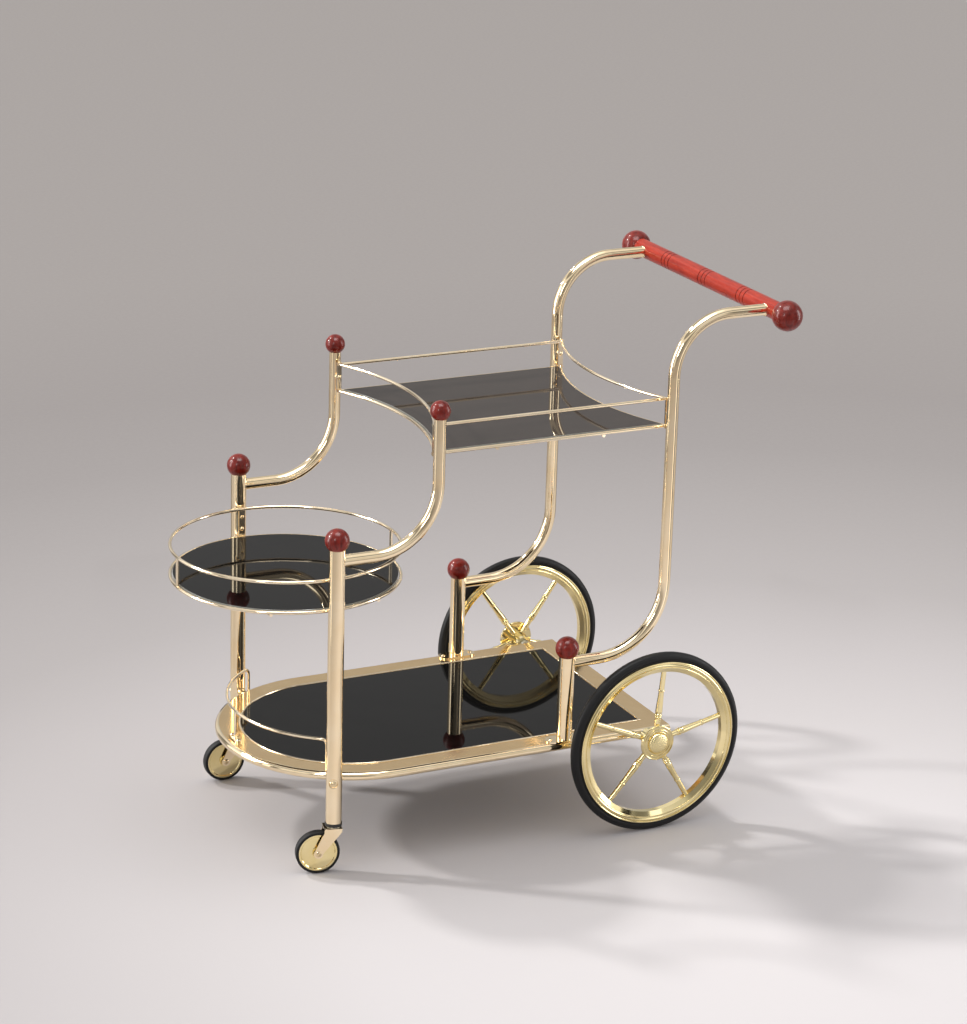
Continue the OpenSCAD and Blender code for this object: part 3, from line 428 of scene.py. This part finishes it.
TYRE_FACE = [  # share of the tyre's half width and depth from the seat, from the rim up to the tread
    (0.90, 0.0), (0.97, 0.07), (0.97, 0.13), (0.88, 0.17), (0.88, 0.24), (0.99, 0.30), (1.0, 0.40),
    (0.975, 0.52), (0.90, 0.66), (0.86, 0.70), (0.845, 0.705), (0.80, 0.76), (0.66, 0.87),
    (0.47, 0.955), (0.24, 0.99), (0.07, 1.0), (0.05, 0.985),
]
RIM_FACE_W = 9.6 * MM
STUD_PITCH = 2.7 * MM
STUD_HEIGHT = 0.55 * MM
DOME_POWER = 2.4  # 2 gives an ellipse, and more a flatter top
DOME_TIP = 0.15 * MM
SUNK = 0.1 * MM  # how deep the rim's trim sits in its face
WHEEL_STEPS, LIP_STEPS, RING_STEPS = 240, 200, 120


def wheel_details(side):
    """The moulded tyre, the rim's lips, bands and beads, and the dotted cap with its hub rings."""
    body = f"{side}_wheel"
    place = wheel_place(side)
    lo, hi, _ = size(f"{side}_wheel_tyre")
    outer, half = (hi.z - lo.z) / 2, (hi.y - lo.y) / 2
    rim_lo, rim_hi, _ = size(f"{side}_wheel_rim")
    seat, rim_half = (rim_hi.z - rim_lo.z) / 2, (rim_hi.y - rim_lo.y) / 2
    depth = outer - seat
    face = [(seat + f * depth, w * half) for w, f in TYRE_FACE]
    profile = face + [(r, -h) for r, h in reversed(face)]
    verts, faces = lathe_mesh(profile, WHEEL_STEPS, place)
    piece(f"{side}_tyre_moulded", verts, faces, body, "rubber",
          stands_for=(f"{side}_wheel_tyre",), sharp=50)

    # a rolled lip, a swelling band and a thin inner bead on each face of the rim
    band_out, band_in, swell = seat - 2.6 * MM, seat - RIM_FACE_W + 0.8 * MM, 1.5 * MM
    for face_sign, at in ((1, "out"), (-1, "in")):
        for tag, radius, thick in (("lip", seat - 1.2 * MM, 1.3 * MM),
                                   ("bead", seat - RIM_FACE_W, 0.8 * MM)):
            ring = ring_profile(radius, face_sign * (rim_half - SUNK), thick)
            verts, faces = lathe_mesh(ring, LIP_STEPS, place)
            piece(f"{side}_rim_{tag}_{at}", verts, faces, body, "brass_wheel")
        steps = 10
        arch = [(band_in + (band_out - band_in) * k / steps,
                 face_sign * (rim_half + swell * math.sin(math.pi * k / steps) - SUNK))
                for k in range(steps + 1)]
        arch += [(band_out, face_sign * (rim_half - 1 * MM)), (band_in, face_sign * (rim_half - 1 * MM))]
        verts, faces = lathe_mesh(arch if face_sign > 0 else arch[::-1], WHEEL_STEPS, place)
        piece(f"{side}_rim_band_{at}", verts, faces, body, "brass_wheel")

    hub_lo, hub_hi, _ = size(f"{side}_wheel_hub")
    cap_lo, cap_hi, _ = size(f"{side}_hub_cap")
    cap_r, cap_h = (cap_hi.x - cap_lo.x) / 2, cap_hi.y - cap_lo.y
    face_z = abs(cap_lo.y if side == "right" else cap_hi.y) - abs(place.translation.y)
    steps = 48
    rise = [(cap_r * (1 - k / steps), cap_h * math.sqrt(max(0, 1 - (1 - k / steps) ** DOME_POWER)))
            for k in range(steps)]
    rise.append((DOME_TIP, cap_h))
    shell = [(r, face_z + h) for r, h in rise]
    shell += [(DOME_TIP, face_z + cap_h - 1.2 * MM), (cap_r - 1.4 * MM, face_z)]

    def studs(r, turn):
        """Rows of small raised dots over the dome."""
        row = round(r / STUD_PITCH)
        if row == 0 or row * STUD_PITCH > 0.93 * cap_r:
            return 0
        across = 0.5 + 0.5 * math.cos(FULL * r / STUD_PITCH)
        along = 0.5 + 0.5 * math.cos(6 * row * turn + row)
        return STUD_HEIGHT * across * along

    verts, faces = lathe_mesh(shell, WHEEL_STEPS, place, studs)
    piece(f"{side}_hub_dome", verts, faces, body, "brass_wheel",
          sharp=70, stands_for=(f"{side}_hub_cap",))
    flange_r = (hub_hi.x - hub_lo.x) / 2
    rings = (("rim", flange_r - 1.5 * MM, 1.2 * MM), ("step", (flange_r + cap_r) / 2 - 0.8 * MM, 1.0 * MM),
             ("foot", cap_r + 0.9 * MM, 0.8 * MM))
    for tag, radius, thick in rings:
        verts, faces = lathe_mesh(ring_profile(radius, face_z, thick), RING_STEPS, place)
        piece(f"{side}_hub_{tag}_ring", verts, faces, body, "brass_wheel")


for wheel_side in ("left", "right"):
    wheel_details(wheel_side)


# ---------- brazed joints ----------

def saddle(post_mid, post_r, tube_r, height, direction, steps=72):
    """The line on which a level tube along X meets an upright post."""
    path = []
    for k in range(steps):
        turn = FULL * k / steps
        across, up = tube_r * math.cos(turn), tube_r * math.sin(turn)
        out = math.sqrt(post_r * post_r - across * across)
        path.append(Vector((post_mid.x + direction * out, post_mid.y + across, height + up)))
    return path


def braze(name, path, radius):
    verts, faces = sweep_mesh(path, radius)
    piece(name, verts, faces, "cart", "brass_tube", sharp=80)


BRAZE_R = 0.8 * MM
COLLAR_R = 0.9 * MM
for side in ("left", "right"):
    leg_lo, leg_hi, leg_mid = size(f"{side}_front_leg")
    tube_lo, tube_hi, _ = size(f"{side}_upper_tube")
    tube_r = (tube_hi.y - tube_lo.y) / 2
    leg_r = (leg_hi.x - leg_lo.x) / 2
    braze(f"{side}_leg_braze", saddle(leg_mid, leg_r, tube_r, tube_lo.z + tube_r, 1), BRAZE_R)
    post_mid = size(f"{side}_short_post")[2]
    rear_lo, rear_hi, rear_mid = size(f"{side}_rear_tube")
    braze(f"{side}_post_braze", saddle(post_mid, leg_r, tube_r, rear_lo.z + tube_r, 1), BRAZE_R)
    grip = Vector((handle_mid.x, rear_mid.y, handle_mid.z))
    braze(f"{side}_grip_collar", saddle(grip, handle_radius, tube_r, rear_hi.z - tube_r, -1), COLLAR_R)


# ---------- washers under the leg bolts ----------

BOLT_HEAD = 13 * MM
WASHER_GAP, WASHER_REACH = 0.2 * MM, 1.4 * MM  # from the head's edge to the washer's hole and rim
WASHER_LOW, WASHER_HIGH = -0.4 * MM, 0.7 * MM  # from the leg's surface


def bolt_washer(side):
    """A washer under a leg bolt's head, bent round the leg."""
    shelf_lo, shelf_hi, _ = size("shelf_glass")
    edge_mid = size("shelf_edge_tube")[2]
    leg_lo, leg_hi, leg_mid = size(f"{side}_front_leg")
    spot = Vector((leg_mid.x, leg_mid.y, edge_mid.z))
    centre = Vector((shelf_lo.x + shelf_hi.y, 0, edge_mid.z))
    outward = (spot - centre).normalized()
    place = Matrix.Translation(spot) @ outward.to_track_quat("Z", "Y").to_matrix().to_4x4()
    leg_r = (leg_hi.x - leg_lo.x) / 2
    inner, outer = BOLT_HEAD / 2 + WASHER_GAP, BOLT_HEAD / 2 + WASHER_REACH
    section = ((inner, WASHER_LOW), (inner, WASHER_HIGH), (outer, WASHER_HIGH), (outer, WASHER_LOW))
    steps = 96
    verts, faces = [], []
    for k in range(steps):
        turn = FULL * k / steps
        for r, lift in section:
            across = r * math.sin(turn)
            seat = math.sqrt(leg_r * leg_r - across * across)
            verts.append(place @ Vector((across, r * math.cos(turn), seat + lift)))
    for k in range(steps):
        a, b = 4 * k, 4 * ((k + 1) % steps)
        faces += [(a + i, b + i, b + (i + 1) % 4, a + (i + 1) % 4) for i in range(4)]
    piece(f"{side}_bolt_washer", verts, faces, "cart", "brass_fasteners")


for washer_side in ("left", "right"):
    bolt_washer(washer_side)


# ---------- the view, which the floor, the light and the camera share ----------

CAM_TURN, CAM_TILT, CAM_ROLL = math.radians(-26.548), math.radians(18.581), math.radians(1.682)
CAM_DISTANCE = 5.1229
CAM_TARGET = Vector((0.0532, 0, 0.4886))
CAM_LENS = 111.14
VIEW_RIGHT = Vector((math.cos(CAM_TURN), math.sin(CAM_TURN), 0))
VIEW_AHEAD = Vector((-math.sin(CAM_TURN), math.cos(CAM_TURN), 0))


# ---------- floor and backdrop ----------

FLOOR_REACH = 10.0
# the floor's own grey with a painted pool of light: distance from the brightest spot, its tone, and the green
# and blue in that tone
FLOOR_PAINTED_LIGHT_TONES = ((0.0, 0.755, 0.96, 0.98), (0.6, 0.71, 0.96, 0.98), (0.9, 0.63, 0.955, 0.97),
               (1.2, 0.555, 0.95, 0.965), (1.6, 0.45, 0.945, 0.95), (2.0, 0.4, 0.94, 0.94),
               (2.5, 0.343, 0.935, 0.93), (3.0, 0.322, 0.93, 0.92), (4.0, 0.338, 0.93, 0.91),
               (9.0, 0.328, 0.93, 0.905))


def build_floor():
    mesh = bpy.data.meshes.new("floor")
    reach = 40
    mesh.from_pydata([(-reach, -reach, 0), (reach, -reach, 0), (reach, reach, 0), (-reach, reach, 0)],
                     [], [(0, 1, 2, 3)])
    mat, tree, bsdf = material("studio_floor")
    # painted light: the floor's colour is lightest here and darker further away, a painted pool of light over
    # its own grey
    painted_light_centre = VIEW_RIGHT * 0.5 - VIEW_AHEAD * 0.5
    coords = add(tree, "TexCoord").outputs["Object"]
    away = add(tree, "VectorMath", {0: coords, 1: painted_light_centre}, operation="SUBTRACT").outputs[0]
    radius = add(tree, "VectorMath", {0: away}, operation="LENGTH").outputs["Value"]
    stops = [(metres / FLOOR_REACH, (tone, tone * green, tone * blue))
             for metres, tone, green, blue in FLOOR_PAINTED_LIGHT_TONES]
    colour = colour_ramp(tree, remap(tree, radius, 0, FLOOR_REACH, 0, 1), stops)
    link(tree, colour, bsdf, "Base Color")
    link(tree, remap(tree, noise(tree, coords, 90, 4), 0.3, 0.7, 0.5, 0.62), bsdf, "Roughness")
    constants(bsdf, Specular_IOR_Level=0.05)
    mesh.materials.append(mat)
    floor = bpy.data.objects.new("floor", mesh)
    bpy.context.scene.collection.objects.link(floor)


WALL_TONE = (0.415, 0.385, 0.37)


def build_backdrop():
    """A plain wall far behind the floor's edge, for views so low that they look over it."""
    steps, radius, low, high = 96, 38.0, -6.0, 60.0
    verts = [(radius * math.cos(FULL * k / steps), radius * math.sin(FULL * k / steps), z)
             for z in (low, high) for k in range(steps)]
    faces = [(k, (k + 1) % steps, steps + (k + 1) % steps, steps + k) for k in range(steps)]
    mesh = bpy.data.meshes.new("backdrop")
    mesh.from_pydata(verts, [], faces)
    mat, tree, bsdf = material("backdrop_wall")
    constants(bsdf, Base_Color=(0, 0, 0, 1), Emission_Color=(*WALL_TONE, 1), Emission_Strength=1.0,
              Roughness=1.0, Specular_IOR_Level=0.0)
    mesh.materials.append(mat)
    wall = bpy.data.objects.new("backdrop", mesh)
    bpy.context.scene.collection.objects.link(wall)
    # the room around it still lights and mirrors in the trolley
    wall.visible_diffuse = wall.visible_glossy = wall.visible_shadow = wall.visible_transmission = False


# ---------- light ----------

# brightness around the room, from behind the camera over the left, ahead (0.5) and the right
WALLS = ((0.0, 0.28), (0.07, 0.28), (0.085, 0.85), (0.15, 0.9), (0.165, 0.2), (0.2, 0.2),
         (0.215, 1.35), (0.33, 1.35), (0.345, 0.2), (0.38, 0.2), (0.395, 0.75), (0.44, 0.7),
         (0.47, 0.48), (0.53, 0.48), (0.56, 0.65),
         (0.60, 0.7), (0.615, 0.15), (0.66, 0.15), (0.675, 1.2), (0.78, 1.2), (0.795, 0.2), (0.84, 0.2),
         (0.855, 0.7), (0.92, 0.7), (0.935, 0.28), (1.0, 0.28))
# and from the horizon up, by the sine of the height
CEILING = ((0.0, 0.3), (0.42, 0.3), (0.5, 0.85), (0.62, 0.9), (0.66, 0.3), (0.78, 0.32),
           (0.83, 0.9), (0.93, 0.95), (0.955, 1.5), (1.0, 1.5))


def room_ramp(tree, value, levels):
    """The room's slightly warm grey, at the given brightnesses."""
    stops = [(at, (level, level * 0.985, level * 0.97)) for at, level in levels]
    return colour_ramp(tree, value, stops)


def build_world():
    """A studio room: grey walls, a bright ceiling, and a dark side behind the camera."""
    world = bpy.data.worlds.new("studio")
    bpy.context.scene.world = world
    world.use_nodes = True
    tree = world.node_tree
    back = tree.nodes["Background"]
    way = add(tree, "TexCoord").outputs["Generated"]
    height = add(tree, "SeparateXYZ", {0: way}).outputs["Z"]
    ceiling = room_ramp(tree, height, CEILING)
    right = add(tree, "VectorMath", {0: way, 1: VIEW_RIGHT}, operation="DOT_PRODUCT").outputs["Value"]
    ahead = add(tree, "VectorMath", {0: way, 1: VIEW_AHEAD}, operation="DOT_PRODUCT").outputs["Value"]
    turn = remap(tree, math_node(tree, "ARCTAN2", right, ahead), -math.pi, math.pi, 0, 1)
    walls = room_ramp(tree, turn, WALLS)
    above = remap(tree, height, 0.42, 0.5, 0, 1)
    tree.links.new(blend_colour(tree, above, walls, ceiling), back.inputs["Color"])
    back.inputs["Strength"].default_value = 1.0


def aim(obj, place, target):
    turn = (target - place).to_track_quat("-Z", "Y").to_matrix().to_4x4()
    obj.matrix_world = Matrix.Translation(place) @ turn


def lamp(name, kind, place, target, power, tint=(1, 1, 1), **settings):
    data = bpy.data.lights.new(name, kind)
    data.energy = power
    data.color = tint
    for key, value in settings.items():
        setattr(data, key, value)
    obj = bpy.data.objects.new(name, data)
    bpy.context.scene.collection.objects.link(obj)
    aim(obj, place, target)
    obj.visible_camera = False
    obj.visible_diffuse = kind == "SUN"


def build_lights():
    heart = Vector((0, 0, 0.4))
    warm = (1.0, 0.985, 0.96)
    # two keys from the left give the two sets of shadows on the floor
    lamp("key_high", "SUN", heart + VIEW_RIGHT * -3.9 + VIEW_AHEAD * 2.3 + Vector((0, 0, 4.3)), heart, 1.1,
         warm, angle=math.radians(5), specular_factor=1.0)
    lamp("key_low", "SUN", heart + VIEW_RIGHT * -4 + VIEW_AHEAD * 0.7 + Vector((0, 0, 2.1)), heart, 1.5,
         warm, angle=math.radians(4), specular_factor=1.0)
    # softboxes, mostly for what the metal mirrors
    lamp("box_left", "AREA", heart + VIEW_RIGHT * -2.6 - VIEW_AHEAD * 0.3 + Vector((0, 0, 0.7)), heart, 34,
         shape="RECTANGLE", size=0.7, size_y=2.0)
    lamp("box_right", "AREA", heart + VIEW_RIGHT * 2.7 + VIEW_AHEAD * 0.2 + Vector((0, 0, 0.6)), heart, 22,
         shape="RECTANGLE", size=0.6, size_y=2.0)
    lamp("box_top", "AREA", heart - VIEW_AHEAD * 0.6 + Vector((0, 0, 2.6)), heart, 40,
         shape="RECTANGLE", size=1.6, size_y=1.2)
    lamp("box_front", "AREA", heart - VIEW_AHEAD * 3.6 + VIEW_RIGHT * -1.5 + Vector((0, 0, 1.9)), heart, 20,
         shape="RECTANGLE", size=0.5, size_y=1.4)


# bearing from behind the camera round to the right, width, height and brightness of each card
CARDS = ((60, 0.16, 0.6, 1.6), (76, 0.12, 0.6, 0.02), (146, 0.24, 0.34, 0.015), (-112, 0.4, 0.4, 0.3),
         (-150, 0.16, 0.34, 0.02), (-62, 0.14, 0.6, 1.4))
CARD_DISTANCE = 1.3


def build_cards():
    """Upright cards beside the trolley that only the metal mirrors, for the stripes along its tubes."""
    for number, (bearing, width, height, tone) in enumerate(CARDS):
        turn = math.radians(bearing)
        way = VIEW_RIGHT * math.sin(turn) - VIEW_AHEAD * math.cos(turn)
        foot = way * CARD_DISTANCE
        side = Vector((-way.y, way.x, 0)) * width / 2
        up = Vector((0, 0, height))
        mesh = bpy.data.meshes.new(f"card_{number}")
        mesh.from_pydata([foot - side, foot + side, foot + side + up, foot - side + up], [], [(0, 1, 2, 3)])
        mat, tree, bsdf = material(f"card_{number}")
        constants(bsdf, Base_Color=(0, 0, 0, 1), Emission_Color=(1, 0.985, 0.96, 1), Emission_Strength=tone,
                  Roughness=1.0, Specular_IOR_Level=0.0)
        mesh.materials.append(mat)
        card = bpy.data.objects.new(f"card_{number}", mesh)
        bpy.context.scene.collection.objects.link(card)
        card.visible_camera = card.visible_diffuse = card.visible_shadow = card.visible_transmission = False


# ---------- camera ----------

def build_camera():
    """Looks at CAM_TARGET from CAM_DISTANCE, turned, tilted and rolled like the photograph's camera."""
    back = Vector((math.sin(CAM_TURN) * math.cos(CAM_TILT), -math.cos(CAM_TURN) * math.cos(CAM_TILT),
                   math.sin(CAM_TILT)))
    up = back.cross(VIEW_RIGHT)
    across = math.cos(CAM_ROLL) * VIEW_RIGHT + math.sin(CAM_ROLL) * up
    upward = math.cos(CAM_ROLL) * up - math.sin(CAM_ROLL) * VIEW_RIGHT
    data = bpy.data.cameras.new("camera")
    data.lens = CAM_LENS
    data.clip_end = 200
    camera = bpy.data.objects.new("camera", data)
    bpy.context.scene.collection.objects.link(camera)
    turn = Matrix((across, upward, back)).transposed().to_4x4()
    camera.matrix_world = Matrix.Translation(CAM_TARGET + back * CAM_DISTANCE) @ turn
    bpy.context.scene.camera = camera


build_floor()
build_backdrop()
build_world()
build_lights()
build_cards()
build_camera()
bpy.context.scene.view_settings.view_transform = "Standard"
